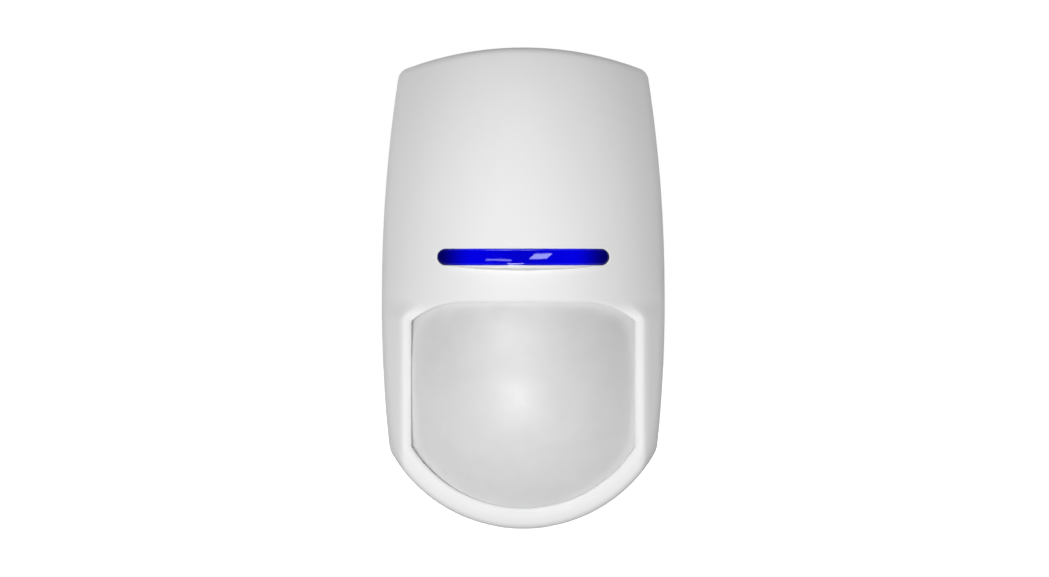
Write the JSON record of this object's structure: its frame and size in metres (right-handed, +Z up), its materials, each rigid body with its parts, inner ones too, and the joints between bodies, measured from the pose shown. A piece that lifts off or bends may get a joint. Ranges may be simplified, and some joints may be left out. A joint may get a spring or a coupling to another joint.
{
  "type": "passive infrared motion sensor",
  "caption": "Wall-mounted infrared motion sensor with a domed lens, an indicator bar and a hinged cover over its circuit board.",
  "frame": {"origin": "on the wall plane, at the middle of the case's width and height", "axes": "+X to the right as seen from the room, +Y into the wall, +Z up"},
  "size_m": [0.069, 0.05, 0.1172],
  "materials": {
    "cover_plastic": "white ABS, fine satin gloss",
    "housing_plastic": "white ABS, slightly more matte than the cover",
    "lens_film": "milky polyethylene, satin",
    "frame_plastic": "white ABS, matte",
    "bar_blue": "deep blue translucent acrylic, polished",
    "board_laminate": "green solder mask on glass-fibre laminate",
    "zinc_steel": "bright zinc plate",
    "can_steel": "plain drawn steel",
    "spring_steel": "drawn wire",
    "solder_tin": "tinned wire",
    "gold_plate": "thin gold plate",
    "white_plastic": "moulded nylon",
    "grey_plastic": "moulded ABS, matte",
    "black_plastic": "moulded nylon",
    "terminal_plastic": "moulded polyamide",
    "relay_plastic": "moulded epoxy, matte",
    "chip_black": "moulded epoxy",
    "chip_ceramic": "sintered ceramic",
    "capacitor_sleeve": "shrink sleeve over an aluminium can",
    "filter_window": "coated silicon filter",
    "led_lens": "cast epoxy",
    "clear_acrylic": "polished acrylic",
    "shunt_red": "moulded polyester",
    "shunt_blue": "moulded polyester"
  },
  "bodies": {
    "root": {"rear_housing": "housing_plastic", "circuit_board": "board_laminate", "board_screws": "zinc_steel", "pyro_standoff": "white_plastic", "pyro_can": "can_steel", "pyro_window": "filter_window", "pyro_leads": "gold_plate", "pyro_shroud": "grey_plastic", "terminal_block": "terminal_plastic", "terminal_clamps": "can_steel", "terminal_screws": "zinc_steel", "terminal_pins": "solder_tin", "tamper_switch_body": "black_plastic", "tamper_switch_legs": "solder_tin", "tamper_spring": "spring_steel", "status_leds": "led_lens", "led_leads": "solder_tin", "light_guide": "clear_acrylic", "alarm_relay": "relay_plastic", "relay_pins": "solder_tin", "electrolytic_capacitors": "capacitor_sleeve", "capacitor_leads": "solder_tin", "chip_capacitors": "chip_ceramic", "chip_resistors": "chip_black", "microcontroller": "chip_black", "amplifier_chip": "chip_black", "chip_leads": "solder_tin", "voltage_regulator": "chip_black", "protection_diode": "chip_black", "crystal_can": "can_steel", "jumper_headers": "black_plastic", "jumper_pins": "gold_plate"},
    "cover": {"cover_shell": "cover_plastic", "fresnel_lens": "lens_film", "lens_frame": "frame_plastic", "light_bar": "bar_blue"},
    "tamper_plunger": {"tamper_plunger": "white_plastic"},
    "lock_washer": {"lock_washer": "zinc_steel"},
    "lock_screw": {"cover_lock_screw": "zinc_steel"},
    "shunt_led": {"jumper_shunt_led": "shunt_red"},
    "shunt_pulse": {"jumper_shunt_pulse": "shunt_blue"}
  },
  "joints": [
    {"name": "cover_hinge", "type": "hinge", "parent": "root", "child": "cover", "pos_m": [0, -0.015, 0.05675], "axis": [-1, 0, 0], "range_deg": [0, 45]},
    {"name": "tamper_press", "type": "slide", "parent": "root", "child": "tamper_plunger", "axis": [0, -1, 0], "range_m": [0, 0.002]},
    {"name": "lock_screw_back_out", "type": "slide", "parent": "root", "child": "lock_washer", "axis": [0, 0, -1], "range_m": [0, 0.002]},
    {"name": "lock_screw_turn", "type": "hinge", "parent": "lock_washer", "child": "lock_screw", "pos_m": [0, -0.0185, -0.0585], "axis": [0, 0, -1], "range_deg": [0, 1440]},
    {"name": "shunt_led_pull", "type": "slide", "parent": "root", "child": "shunt_led", "axis": [0, -1, 0], "range_m": [0, 0.0065]},
    {"name": "shunt_pulse_pull", "type": "slide", "parent": "root", "child": "shunt_pulse", "axis": [0, -1, 0], "range_m": [0, 0.0065]}
  ],
  "couplings": [
    {"joint": "tamper_press", "follows": "cover_hinge", "m_per_rad": 0.00254},
    {"joint": "lock_screw_turn", "follows": "lock_screw_back_out", "rad_per_m": 12566}
  ]
}
